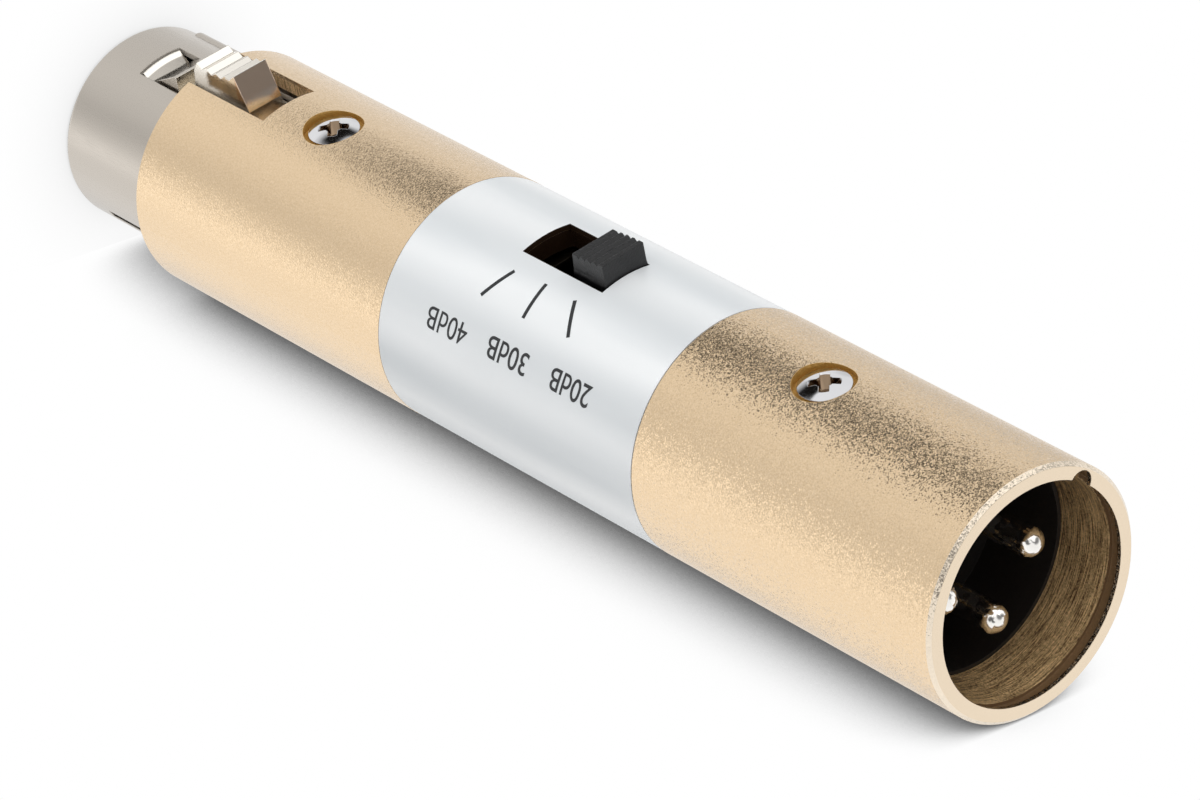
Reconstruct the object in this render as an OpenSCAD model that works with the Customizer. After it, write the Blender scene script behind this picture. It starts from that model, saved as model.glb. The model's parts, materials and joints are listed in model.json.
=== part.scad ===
// Inline audio attenuator: a barrel with a three-hole socket at one end and a three-pin plug
// at the other, and a pad circuit with a three-position slide switch between them.
// It stands on the socket's steel nose, so +Z runs along the barrel to the plug's open mouth,
// with the origin at the centre of the nose's face. Latch, switch and body screws face -Y.
// All sizes are in millimetres.

/* [Barrel] */
// Outer diameter of the barrel
body_d = 19; // [18.8:0.2:24]
// Bore that holds the circuit
bore_d = 15.2; // [14.6:0.1:15.4]
// Length of the sleeve beside the nose
sleeve_len = 29.7; // [29:0.5:40]
// Length of the label band
label_len = 28.1; // [27:0.5:40]
// Length of the shell round the pins
shell_len = 30.2; // [29:0.5:36]
// Wall of the sleeve beside the nose
sleeve_wall = 1.3; // [1:0.1:1.5]
// Thickness of the label band
label_t = 0.45; // [0.3:0.05:0.6]
// Length of the barrel's spigot inside the shell
spigot_len = 6.9; // [5:0.1:8]
// Open joint between barrel and shell
joint_gap = 0.1; // [0.05:0.01:0.2]
// Chamfer on the barrel's ends
edge = 0.3; // [0.1:0.05:0.4]

/* [Socket end] */
// Outer diameter of the nose
nose_d = 15.6; // [15.4:0.05:15.8]
// Sheet thickness of the nose
nose_t = 0.5; // [0.4:0.05:0.7]
// Length of the nose in front of the sleeve
nose_len = 11.2; // [10.8:0.1:14]
// Length of the nose inside the sleeve
nose_held = 18.8; // [18:0.1:20]
// Radius on the nose's front edge
nose_round = 0.4; // [0.2:0.05:0.5]
// Angle of the key rib and of the keyway
key_angle = 228.5; // [220:0.5:240]
// Width of the key rib
rib_w = 1.7; // [1.2:0.1:1.8]
// Height of the key rib above the nose
rib_rise = 0.3; // [0.25:0.05:0.5]
// Distance of the rib's tip from the nose's face
rib_start = 1.2; // [1.1:0.1:4]
// Distance of the seam slit from the nose's face
seam_start = 3.3; // [3:0.1:5]
// Angle of the seam slit
seam_angle = 28; // [20:1:60]
// Width of the seam slit
seam_w = 0.9; // [0.6:0.05:1.2]

/* [Contacts] */
// Distance of the contacts from the axis
pitch_r = 4.05; // [3.9:0.05:4.1]
// Diameter of the plug's pins
pin_d = 2.3; // [2:0.1:2.4]
// Bore of the socket's contacts
socket_bore_d = 2.4; // [2.35:0.05:2.6]
// Outer diameter of the socket's contacts
contact_d = 3.2; // [3:0.1:3.4]
// Diameter of the solder tails
tail_d = 2.2; // [1.8:0.1:2.4]
// Length of the solder tails
tail_len = 5.5; // [4:0.1:6]
// Diameter of a pin's neck, which the plug's insert is moulded round
neck_d = 1.9; // [1.6:0.1:2]

/* [Plug end] */
// Bore of the shell
mouth_d = 16.7; // [16.4:0.1:17]
// Depth of the insert's face below the rim
mouth_depth = 12; // [11:0.1:14]
// Depth at which the insert's thin lining begins
lining_depth = 5.9; // [5:0.1:8]
// Inner diameter of the insert's lining
lining_d = 16.06; // [16:0.02:16.2]
// Bore of the lip at the rim
lip_d = 16.48; // [16.3:0.02:16.6]
// Length of the lip
lip_len = 0.35; // [0.25:0.05:0.6]
// Diameter of the ring groove behind the lip
groove_d = 17.3; // [17:0.1:17.6]
// Length of the ring groove
groove_len = 0.9; // [0.7:0.1:1.2]
// Depth of the pins' tips below the rim
pin_depth = 3.5; // [2:0.1:5]
// Width of the keyway
keyway_w = 2; // [1.9:0.05:2.4]
// Depth of the keyway in the shell's wall
keyway_cut = 0.75; // [0.6:0.05:0.9]
// Depth of the keyway below the rim
keyway_len = 9.4; // [9:0.1:11]

/* [Latch] */
// Width of the lever
lever_w = 4.6; // [4:0.1:4.8]
// Width of the lever's tongue in the nose's window
tongue_w = 3.6; // [3.2:0.1:4]
// Side clearance of the lever in the nose, the insert and the sleeve
lever_gap = 0.18; // [0.15:0.01:0.3]
// Width of the push button
button_w = 3.1; // [2.8:0.1:3.6]
// Height of the button above the barrel
button_rise = 1.45; // [1:0.05:2]
// Distance of the tooth's rear face from the nose's face
tooth_pos = 9.45; // [9.2:0.05:9.8]
// Height of the tooth above the nose
tooth_rise = 0.85; // [0.6:0.05:1]
// Distance of the pivot from the nose's face
pivot_pos = 22.5; // [22:0.1:23]
// Diameter of the pivot pin
pivot_d = 1; // [0.8:0.1:1.2]
// Wire of the latch spring
spring_wire = 0.32; // [0.25:0.01:0.4]
// Outer diameter of the latch spring
spring_d = 2.2; // [2:0.1:2.4]

/* [Slide switch] */
// Distance of the switch slot's middle from the label's lower edge
slot_pos = 14.02; // [13:0.1:15]
// Distance between two switch positions
switch_pitch = 2.53; // [2.4:0.01:2.8]
// Width of the knob at its foot
knob_w = 3.95; // [3.4:0.05:4]
// Length of the knob at its foot
knob_len = 3.5; // [2.8:0.05:3.6]
// Height of the knob above the barrel
knob_rise = 1.62; // [1.2:0.01:2.5]
// Sideways offset of the knob
knob_shift = -0.33; // [-0.33:0.01:0]
// Sideways offset of the switch slot
slot_shift = -0.165; // [-0.2:0.005:0]
// Width of the switch's frame
case_w = 5.6; // [5.2:0.1:6]
// Length of the switch's frame
case_len = 14; // [13.6:0.1:16]
// Sheet thickness of the frame
case_t = 0.3; // [0.2:0.05:0.35]

/* [Circuit board] */
// Thickness of the board
board_t = 1.2; // [0.8:0.1:1.4]
// Diameter of a resistor
resistor_d = 1.9; // [1.6:0.1:2.2]
// Length of a resistor
resistor_len = 3.6; // [3.2:0.1:4]
// Diameter of the insulated leads
wire_d = 1; // [0.8:0.1:1.2]

/* [Body screws] */
// Distance of the screw at the socket end from the sleeve's front
screw_inset_socket = 14.95; // [14.5:0.05:15.2]
// Distance of the screw at the plug end from the rim
screw_inset_plug = 18.95; // [18:0.05:20]
// Diameter of the head
head_d = 3.9; // [3.4:0.1:4.2]
// Diameter of the countersunk hole round the head
head_hole_d = 4.6; // [4.4:0.1:4.8]
// Depth of the head's seat below the surface
head_seat = 0.75; // [0.7:0.01:0.8]
// Diameter of the shank
shank_d = 1.9; // [1.6:0.1:2.1]

/* [Hidden] */
$fn = 96;

// Clearances
seat_gap = 0.02;
run_gap = 0.05;
tiny = 0.01;

// Radii
body_r = body_d / 2;
bore_r = bore_d / 2;
nose_r = nose_d / 2;
nose_in_r = nose_r - nose_t;
mouth_r = mouth_d / 2;
lining_r = lining_d / 2;
insert_r = mouth_r - seat_gap;
sleeve_in_r = body_r - sleeve_wall;
land_r = nose_r + seat_gap;
tail_r = tail_d / 2;

// Heights along the barrel
z_sleeve = nose_len;
z_label = z_sleeve + sleeve_len;
z_joint = z_label + label_len;
z_rim = z_joint + shell_len;
z_nose_end = z_sleeve + nose_held;
z_spigot_end = z_joint + spigot_len;
z_insert = z_spigot_end + 0.1;
z_pin_face = z_rim - mouth_depth;
z_lining = z_rim - lining_depth;
z_face = 0.5;

// Contacts: places seen from the plug's mouth, bore, split and solder cup
contact_angles = [180, 90, 0];
contact_front = z_face + 0.75;
contact_bore_len = 9.75;
split_w = 0.3;
split_len = 7;
collar_len = 4.95;
neck_depth = 0.1;
cup_d = wire_d + 0.2;
cup_len = 2.5;

// Latch: the lever's underside, its pivot and the channel that it swings in
lever_under = nose_r - 1.8;
lever_neck = nose_r - 0.85;
pivot_h = nose_r - 1.6;
hub_r = 1.1;
lever_tip = 4.85;
tongue_shift = (lever_w - tongue_w) / 2;
tongue_end = tooth_pos + 0.65;
tongue_dip = [6.05, nose_r - 0.75];
lip_r = nose_r - 0.08;
lip_flat = 0.12;
lip_slope = 0.32;
channel_start = 4.4;
channel_end = pivot_pos + hub_r + 0.4;
channel_floor = nose_r - 3.9;
channel_w = lever_w + 2 * lever_gap;
window_start = 4.65;
notch_end = 20.7;
notch_w = lever_w + 2 * lever_gap;
land_start = notch_end + 0.9;
button_top = body_r + button_rise;
spring_pos = 13.9;
spring_pocket = 1;
spring_floor = channel_floor - spring_pocket;

// Push button: five ridges in a shallow dish for the thumb
ridge_step = 1.18;
ridge_dip = 0.33;
button_front = 11.62;
button_back = button_front + 4 * ridge_step;
function ridge_h(i) = button_top - 0.66 + 0.09 * pow(i - 1.3, 2);

// Latch spring: coil between the insert's pocket and the lever's underside
spring_turns = 5;
spring_sides = 8;
spring_steps = 16;
spring_low = spring_floor + 0.02 + spring_wire / 2;
spring_high = lever_under + 0.28 - spring_wire / 2;
spring_mid_r = (spring_d - spring_wire) / 2;
function spring_point(t, a) = let (r = spring_mid_r + spring_wire / 2 * cos(a))
    [r * cos(360 * t), r * sin(360 * t),
     spring_low + (spring_high - spring_low) * t / spring_turns + spring_wire / 2 * sin(a)];

// Slide switch: it rests at the plug's end of its travel
travel = 2 * switch_pitch;
end_gap = 0.08;
knob_gap = 0.09;
z_slot = z_label + slot_pos;
z_knob = z_slot + switch_pitch;
slot_len = knob_len + travel + 2 * end_gap;
slot_w = knob_w + 2 * (knob_gap + abs(knob_shift - slot_shift));
slot_corner = 0.1;
case_top = sqrt(pow(bore_r - 0.12, 2) - pow(case_w / 2, 2));
stem_len = knob_len - 0.95;
stem_w = 3;
window_gap = 0.12;
shoe_len = 6;
shoe_w = case_w - 2 * case_t - 0.2;
shoe_top = case_top - case_t - 0.08;
base_t = 0.7;
leg_w = 1.2;
leg_t = case_t;
leg_z = case_len / 2 - 1.4;
row_x = 1.2;
terminal_w = 0.8;
terminal_t = 0.3;
contact_rise = 0.3;
clip_t = 0.25;
knob_foot = case_top + 0.22;
knob_top = body_r + knob_rise;
knob_low = z_knob - knob_len / 2;
knob_high = z_knob + knob_len / 2;
ridges = 5;
ridge_pitch = (knob_len - 0.16) / ridges;
ridge_cut = 0.23;

// The slider bridges two neighbouring terminals in each row
terminal_z = [for (k = [-1.5 : 1 : 1.5]) z_slot + k * switch_pitch];

// Circuit board: its rear face lies on the solder tails
board_rear = tail_r + 0.05;
board_front = board_rear + board_t;
clip_foot = board_front + base_t + contact_rise + 0.08;
shoe_bottom = clip_foot + 0.52 * (shoe_top - clip_foot);
board_w = 2 * sqrt(pow(bore_r - 0.15, 2) - pow(board_front, 2));
z_board_low = z_nose_end + 0.5;
z_board_high = z_insert - 0.5;
lead_d = 0.5;
lead_span = resistor_len + 2.4;
lead_bend = 0.6;
wire_bend = 1.5;
wire_run = 3;

// Resistor places on the board's rear: (x, z)
resistor_places = [[-2.6, z_board_low + 11], [2.6, z_board_low + 11], [-4.6, z_slot], [4.6, z_slot],
    [-2.6, z_board_high - 9.6], [2.6, z_board_high - 9.6]];

// Body screws
z_screw_socket = z_sleeve + screw_inset_socket;
z_screw_plug = z_rim - screw_inset_plug;
seat_r = body_r - head_seat;
head_rim = 0.35;
head_dome = 0.35;
shank_len = 3.4;
cross_w = 0.74;
cross_len = 2.6;
cross_depth = 1;
cross_floor = 0.9;

// Turns a drawing in (x, z) so that it rises outward, towards -Y
module outward() rotate([90, 0, 0]) children();

// Extrudes a drawing in (z, y) along X, centred
module across(w) rotate([0, -90, 0]) linear_extrude(w, center = true) children();

// Turns points (z, height above the axis) into points (z, y) on the -Y side
function lifted(points) = [for (p = points) [p[0], -p[1]]];

// Puts its children at a contact's place
module at_contact(i) rotate([0, 0, contact_angles[i]]) translate([pitch_r, 0, 0]) children();

// Ring between two heights
module tube(r_out, r_in, z0, z1) {
    translate([0, 0, z0]) difference() {
        cylinder(r = r_out, h = z1 - z0);
        translate([0, 0, -1]) cylinder(r = r_in, h = z1 - z0 + 2);
    }
}

// Box that opens a way through the wall on the -Y side, from one radius outward
module side_cut(w, z0, z1, r_from) {
    translate([-w / 2, -body_r - 5, z0]) cube([w, body_r + 5 - r_from, z1 - z0]);
}

// The switch's slot, with small corner radii
module slot_cut() {
    inner_w = slot_w / 2 - slot_corner;
    inner_len = slot_len / 2 - slot_corner;
    outward() translate([slot_shift, z_slot]) linear_extrude(body_r + 5) {
        square([slot_w, 2 * inner_len], center = true);
        square([2 * inner_w, slot_len], center = true);
        for (sx = [-1, 1], sz = [-1, 1]) translate([sx * inner_w, sz * inner_len])
            circle(slot_corner);
    }
}

// Hole for a body screw, from the surface down to the shank's clearance
module screw_cut(z) {
    outward() translate([0, z, 0]) {
        translate([0, 0, seat_r]) cylinder(d = head_hole_d, h = 5);
        cylinder(d = shank_d + 0.4, h = seat_r + 1);
    }
}

module body_tube() color("#c9b28c") {
    difference() {
        union() {
            translate([0, 0, z_sleeve]) cylinder(r1 = body_r - edge, r2 = body_r, h = edge);
            translate([0, 0, z_sleeve + edge]) cylinder(r = body_r, h = sleeve_len - edge);
            translate([0, 0, z_label]) cylinder(r = body_r - label_t - seat_gap, h = label_len);
            translate([0, 0, z_joint]) cylinder(r = insert_r, h = spigot_len);
        }
        translate([0, 0, z_sleeve - 1]) cylinder(r = sleeve_in_r, h = land_start - z_sleeve + 1);
        cylinder(r = land_r, h = z_nose_end + seat_gap);
        translate([0, 0, z_nose_end]) cylinder(r = bore_r, h = z_spigot_end + 1 - z_nose_end);
        side_cut(notch_w, z_sleeve - 1, notch_end, 2);
        slot_cut();
        screw_cut(z_screw_socket);
    }
}

module label_band() color("#c9c9c6") {
    difference() {
        tube(body_r - 0.02, body_r - label_t, z_label + seat_gap, z_joint - seat_gap);
        slot_cut();
    }
}

// Round-bottomed groove for the key rib, from the rim inward
module keyway_groove() {
    rotate([0, 0, key_angle]) translate([mouth_r + keyway_cut - keyway_w / 2, 0, z_rim - keyway_len]) {
        cylinder(d = keyway_w, h = keyway_len + 1);
        translate([-2, -keyway_w / 2, 0]) cube([2, keyway_w, keyway_len + 1]);
    }
}

module male_shell() color("#c9b28c") {
    z0 = z_joint + joint_gap;
    z_lip = z_rim - lip_len;
    difference() {
        union() {
            translate([0, 0, z0]) cylinder(r = body_r, h = z_rim - edge - z0);
            translate([0, 0, z_rim - edge]) cylinder(r1 = body_r, r2 = body_r - edge, h = edge);
        }
        translate([0, 0, z0 - 1]) cylinder(r = mouth_r, h = z_lip - z0 + 1);
        cylinder(d = lip_d, h = z_rim + 1);
        translate([0, 0, z_lip - groove_len]) cylinder(d = groove_d, h = groove_len);
        keyway_groove();
        screw_cut(z_screw_plug);
    }
}

module nose_shell() color("#c5c0b8") {
    difference() {
        union() {
            rotate_extrude() nose_section();
            rotate([0, 0, key_angle]) translate([nose_r + rib_rise - rib_w / 2, 0, rib_start]) {
                cylinder(d1 = rib_w - 0.8, d2 = rib_w, h = 0.9);
                translate([0, 0, 0.9]) cylinder(d = rib_w, h = nose_len - rib_start - 0.95);
            }
        }
        translate([0, 0, rib_start - 1]) cylinder(r = nose_in_r, h = z_nose_end);
        translate([tongue_shift, 0, 0]) side_cut(tongue_w + 2 * lever_gap, window_start, tongue_end, 2);
        side_cut(channel_w, tongue_end - lever_gap, channel_end, 2);
        rotate([0, 0, seam_angle]) translate([0, -seam_w / 2, seam_start])
            cube([body_r, seam_w, z_nose_end]);
        screw_cut(z_screw_socket);
    }
}

// Half section of the nose's tube, with its rounded front edge
module nose_section() {
    difference() {
        translate([nose_in_r, 0]) square([nose_t, z_nose_end]);
        translate([nose_r - nose_round, -1]) square([nose_round + 1, nose_round + 1]);
    }
    intersection() {
        translate([nose_r - nose_round, nose_round]) circle(nose_round);
        translate([nose_in_r, 0]) square([nose_t, nose_round]);
    }
}

module female_insulator() color("#26262a") {
    difference() {
        translate([0, 0, z_face]) cylinder(r = nose_in_r - seat_gap, h = z_nose_end - z_face);
        for (i = [0 : 2]) at_contact(i) {
            cylinder(d = socket_bore_d + 0.2, h = z_nose_end);
            translate([0, 0, z_face + 0.7]) cylinder(d = contact_d + 2 * seat_gap, h = z_nose_end);
            translate([0, 0, z_face - tiny])
                cylinder(d1 = socket_bore_d + 0.8, d2 = socket_bore_d + 0.2, h = 0.3);
        }
        side_cut(channel_w, channel_start, channel_end, channel_floor);
        outward() translate([0, spring_pos, spring_floor])
            cylinder(d = spring_d + 0.3, h = spring_pocket + 1);
        translate([0, -pivot_h, pivot_pos]) rotate([0, 90, 0])
            cylinder(d = pivot_d + 2 * seat_gap, h = body_d, center = true);
        outward() translate([0, z_screw_socket, seat_r - shank_len - 0.2])
            cylinder(d = shank_d + 2 * seat_gap, h = body_r);
    }
}

// Socket contact: split sleeve in front, solder tail behind
module female_contact(i) color("#c8c2b4") at_contact(i) {
    difference() {
        union() {
            translate([0, 0, contact_front]) cylinder(d = contact_d, h = z_nose_end - contact_front);
            translate([0, 0, z_nose_end - tiny]) cylinder(r = tail_r, h = tail_len + tiny);
        }
        translate([0, 0, contact_front - 1]) cylinder(d = socket_bore_d, h = contact_bore_len + 1);
        translate([0, 0, z_nose_end + tail_len - cup_len]) cylinder(d = cup_d, h = cup_len + 1);
        translate([0, -split_w / 2, contact_front - 1]) cube([contact_d, split_w, split_len + 1]);
    }
}

module female_contact_1() female_contact(0);
module female_contact_2() female_contact(1);
module female_contact_3() female_contact(2);

module latch() color("#d9d8d4") {
    difference() {
        union() {
            tongue();
            across(lever_w) polygon(lifted([[tongue_end, lever_under], [tongue_end, lever_neck],
                [pivot_pos, lever_neck], [pivot_pos, lever_under]]));
            across(button_w) polygon(lifted(concat(
                [[button_front - 0.95, lever_under + 0.2], [button_front - 0.95, lever_neck + 0.4],
                 [button_front - 0.6, ridge_h(0) - 0.9]],
                [for (i = [0 : 3], side = [0, 1])
                    side == 0 ? [button_front + i * ridge_step, ridge_h(i)]
                              : [button_front + (i + 0.45) * ridge_step, ridge_h(i + 0.5) - ridge_dip]],
                [[button_back, ridge_h(4)],
                 [button_back + 1.2, lever_neck + 1.2], [button_back + 1.3, lever_under + 0.2]])));
            translate([0, -pivot_h, pivot_pos]) rotate([0, 90, 0])
                cylinder(r = hub_r, h = lever_w, center = true);
        }
        translate([0, -pivot_h, pivot_pos]) rotate([0, 90, 0])
            cylinder(d = pivot_d + 2 * run_gap, h = body_d, center = true);
        outward() translate([0, spring_pos, lever_under - 1])
            cylinder(d = spring_d + 0.3, h = 1.3);
    }
}

// Turned outline of the tip: a raised lip, then a dish that follows the nose's curve
module tongue_tip(h_dip) {
    z_slope = lever_tip + lip_flat;
    z_dish = z_slope + lip_slope;
    dish_r = lip_r - lip_slope;
    translate([0, 0, lever_tip - tiny]) cylinder(r = lip_r, h = lip_flat + tiny);
    translate([0, 0, z_slope]) cylinder(r1 = lip_r, r2 = dish_r, h = lip_slope);
    translate([0, 0, z_dish]) cylinder(r1 = dish_r, r2 = h_dip, h = tongue_dip[0] - z_dish + tiny);
}

// Front of the lever: the tip, then the tooth's ramp and its upright rear face
module tongue() {
    tooth_h = nose_r + tooth_rise;
    z_dip = tongue_dip[0];
    h_dip = tongue_dip[1];
    slope = (tooth_h - h_dip) / (tooth_pos - 0.25 - z_dip);
    translate([tongue_shift, 0, 0]) {
        intersection() {
            across(tongue_w) polygon(lifted([[lever_tip, lever_under], [lever_tip, nose_r],
                [z_dip, nose_r], [z_dip, lever_under]]));
            translate([-tongue_shift, 0, 0]) tongue_tip(h_dip);
        }
        across(tongue_w) polygon(lifted([[z_dip - 0.3, lever_under], [z_dip - 0.3, h_dip - 0.3 * slope],
            [tooth_pos - 0.25, tooth_h], [tooth_pos, tooth_h], [tooth_pos, lever_neck],
            [tongue_end + 0.1, lever_neck], [tongue_end + 0.1, lever_under]]));
    }
}

module latch_pin() color("#bdbdbd") {
    pin_len = 2 * (sqrt(pow(nose_in_r, 2) - pow(pivot_h + pivot_d / 2, 2)) - 0.1);
    translate([0, -pivot_h, pivot_pos]) rotate([0, 90, 0])
        cylinder(d = pivot_d, h = pin_len, center = true);
}

module latch_spring() color("#b8b8b8") {
    rings = spring_turns * spring_steps;
    points = [for (s = [0 : rings], k = [0 : spring_sides - 1])
        spring_point(s / spring_steps, 360 * k / spring_sides)];
    walls = [for (s = [0 : rings - 1], k = [0 : spring_sides - 1])
        [s * spring_sides + k, s * spring_sides + (k + 1) % spring_sides,
         (s + 1) * spring_sides + (k + 1) % spring_sides, (s + 1) * spring_sides + k]];
    first = [for (k = [spring_sides - 1 : -1 : 0]) k];
    last = [for (k = [0 : spring_sides - 1]) rings * spring_sides + k];
    outward() translate([0, spring_pos, 0]) mirror([1, 0, 0])
        polyhedron(points, concat([first], walls, [last]), convexity = 10);
}

module male_insulator() color("#1c1c1f") {
    difference() {
        union() {
            translate([0, 0, z_insert]) cylinder(r = insert_r, h = z_pin_face - z_insert);
            tube(insert_r, lining_r, z_pin_face - tiny, z_lining);
        }
        for (i = [0 : 2]) at_contact(i) {
            cylinder(d = neck_d + 2 * seat_gap, h = z_rim);
            translate([0, 0, z_insert - 1])
                cylinder(d = contact_d + 2 * seat_gap, h = collar_len + 1 + seat_gap);
            translate([0, 0, z_pin_face - neck_depth - seat_gap])
                cylinder(d = pin_d + 2 * seat_gap, h = neck_depth + 1);
        }
        keyway_groove();
        outward() translate([0, z_screw_plug, seat_r - shank_len - 0.2])
            cylinder(d = shank_d + 2 * seat_gap, h = body_r);
    }
}

// Plug pin: round tip in front, neck and collar in the insert, solder tail behind
module male_pin(i) color("#c8c2b4") at_contact(i) {
    z_tip = z_rim - pin_depth - pin_d / 2;
    z_shank = z_pin_face - neck_depth;
    difference() {
        union() {
            translate([0, 0, z_shank]) cylinder(d = pin_d, h = z_tip - z_shank);
            translate([0, 0, z_tip]) sphere(d = pin_d);
            translate([0, 0, z_insert]) cylinder(d = neck_d, h = z_shank - z_insert + tiny);
            translate([0, 0, z_insert]) cylinder(d = contact_d, h = collar_len);
            translate([0, 0, z_insert - tail_len]) cylinder(r = tail_r, h = tail_len + tiny);
        }
        translate([0, 0, z_insert - tail_len - 1]) cylinder(d = cup_d, h = cup_len + 1);
    }
}

module male_pin_1() male_pin(0);
module male_pin_2() male_pin(1);
module male_pin_3() male_pin(2);

// Low domed head with a cross recess, and a short shank
module body_screw(z) color("#d4d4d6") {
    dome_r = (pow(head_d / 2, 2) + pow(head_dome, 2)) / (2 * head_dome);
    outward() translate([0, z, seat_r]) difference() {
        union() {
            translate([0, 0, tiny]) cylinder(d = head_d, h = head_rim);
            intersection() {
                translate([0, 0, tiny]) cylinder(d = head_d, h = head_rim + head_dome);
                translate([0, 0, head_rim + head_dome - dome_r]) sphere(dome_r);
            }
            translate([0, 0, -shank_len]) cylinder(d = shank_d, h = shank_len + 0.1);
        }
        translate([0, 0, head_rim + head_dome - cross_depth]) {
            intersection() {
                cylinder(d1 = cross_floor, d2 = cross_len, h = cross_depth);
                for (a = [45, 135]) rotate([0, 0, a]) cube([cross_len, cross_w, 4], center = true);
            }
            cylinder(d1 = cross_floor, d2 = 1.5 * cross_floor, h = cross_depth);
        }
    }
}

module body_screw_female() body_screw(z_screw_socket);
module body_screw_male() body_screw(z_screw_plug);

module switch_case() color("#b9a67e") {
    difference() {
        translate([-case_w / 2, -case_top, z_slot - case_len / 2])
            cube([case_w, case_top - board_front, case_len]);
        translate([-case_w / 2 + case_t, -case_top + case_t, z_slot - case_len / 2 + case_t])
            cube([case_w - 2 * case_t, case_top, case_len - 2 * case_t]);
        opening_w = stem_w + 2 * window_gap;
        opening_len = stem_len + travel + 2 * window_gap;
        translate([-opening_w / 2, -case_top - 1, z_slot - opening_len / 2])
            cube([opening_w, 2, opening_len]);
    }
    for (sx = [-1, 1], sz = [-1, 1])
        translate([sx * (case_w - case_t) / 2, -board_rear + 0.4, z_slot + sz * leg_z])
            translate([-leg_t / 2, -board_t - 0.5, -leg_w / 2])
                cube([leg_t, board_t + 0.5, leg_w]);
}

module switch_base() color("#7a5a34") {
    inset = case_t + 0.05;
    difference() {
        translate([inset - case_w / 2, -board_front - base_t, z_slot - case_len / 2 + inset])
            cube([case_w - 2 * inset, base_t, case_len - 2 * inset]);
        terminal_holes();
    }
}

module terminal_holes() {
    for (z = terminal_z, sx = [-1, 1])
        translate([sx * row_x, -board_front, z])
            cube([terminal_w + 0.06, 6, terminal_t + 0.06], center = true);
}

module switch_terminals() color("#d9c48a") {
    for (z = terminal_z, sx = [-1, 1]) translate([sx * row_x, 0, z]) {
        translate([-terminal_w / 2, -board_front - base_t - tiny, -terminal_t / 2])
            cube([terminal_w, base_t + board_t + 0.8, terminal_t]);
        translate([-0.5, -board_front - base_t - contact_rise, -0.6])
            cube([1, contact_rise, 1.2]);
    }
}

// Height of the knob's ridges, which fall away from the plug's end
function knob_h(i) = knob_top - 0.014 * pow(ridges - 1 - i, 2);

module switch_slider() color("#3a3a3d") {
    waist = body_r + 0.1;
    half_w = knob_w / 2;
    top_low = knob_low + 0.12;
    translate([knob_shift, 0, 0]) intersection() {
        across(10) polygon(lifted(concat(
            [[knob_low, knob_foot], [knob_low, waist - 0.3]],
            [for (i = [0 : ridges - 1], p = [0, 1, 2])
                p == 0 ? [top_low + i * ridge_pitch + (i == 0 ? 0 : ridge_cut), knob_h(i)]
                : p == 1 ? [top_low + (i + 1) * ridge_pitch - (i == ridges - 1 ? 0 : ridge_cut), knob_h(i)]
                : i == ridges - 1 ? [knob_high - 0.02, waist]
                : [top_low + (i + 1) * ridge_pitch, knob_h(i) - ridge_cut]],
            [[knob_high, waist - 0.3], [knob_high, knob_foot]])));
        linear_extrude(z_rim) polygon([[-half_w, -knob_foot], [-half_w, 0.3 - waist],
            [0.04 - half_w, -waist], [0.06 - half_w, -knob_top], [half_w - 0.06, -knob_top],
            [half_w - 0.04, -waist], [half_w, 0.3 - waist], [half_w, -knob_foot]]);
    }
    translate([-stem_w / 2, -knob_foot - tiny, z_knob - stem_len / 2])
        cube([stem_w, knob_foot - shoe_top + 2 * tiny, stem_len]);
    translate([-shoe_w / 2, -shoe_top, z_knob - shoe_len / 2])
        cube([shoe_w, shoe_top - shoe_bottom, shoe_len]);
}

// Two folded clips under the shoe, each bridging two neighbouring terminals
module switch_contacts() color("#c9974f") {
    end = switch_pitch / 2 + 0.3;
    inner = end - clip_t;
    for (sx = [-1, 1]) translate([sx * row_x, 0, z_knob])
        across(1) polygon(lifted([[-end, shoe_bottom], [end, shoe_bottom], [end, clip_foot + 0.2],
            [end - 0.2, clip_foot], [end - 0.4, clip_foot], [end - 0.4, clip_foot + clip_t],
            [inner, clip_foot + 0.4], [inner, shoe_bottom - clip_t], [-inner, shoe_bottom - clip_t],
            [-inner, clip_foot + 0.4], [0.4 - end, clip_foot + clip_t], [0.4 - end, clip_foot],
            [0.2 - end, clip_foot], [-end, clip_foot + 0.2]]));
}

module circuit_board() color("#2f6b3c") {
    difference() {
        translate([-board_w / 2, -board_front, z_board_low])
            cube([board_w, board_t, z_board_high - z_board_low]);
        terminal_holes();
        for (sx = [-1, 1], sz = [-1, 1])
            translate([sx * (case_w - case_t) / 2, -board_rear, z_slot + sz * leg_z])
                cube([leg_t + 0.12, 6, leg_w + 0.12], center = true);
        for (p = resistor_places, s = [-1, 1])
            translate([p[0], 0, p[1] + s * lead_span / 2]) rotate([90, 0, 0])
                cylinder(d = lead_d + 0.1, h = board_front + 1);
    }
}

module resistors() color("#c9b48c") {
    h = resistor_d / 2 - board_rear + 0.1;
    for (p = resistor_places) translate([p[0], h, p[1]]) {
        cylinder(d = resistor_d, h = resistor_len, center = true);
        for (s = [0, 1]) mirror([0, 0, s]) {
            cylinder(d = lead_d, h = lead_span / 2 - lead_bend);
            translate([0, -lead_bend, lead_span / 2 - lead_bend]) rotate([90, 0, 90])
                rotate_extrude(angle = 90) translate([lead_bend, 0]) circle(d = lead_d, $fn = 24);
            translate([0, -lead_bend, lead_span / 2]) rotate([90, 0, 0])
                cylinder(d = lead_d, h = h - lead_bend + board_front + 0.5);
        }
    }
}

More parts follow.
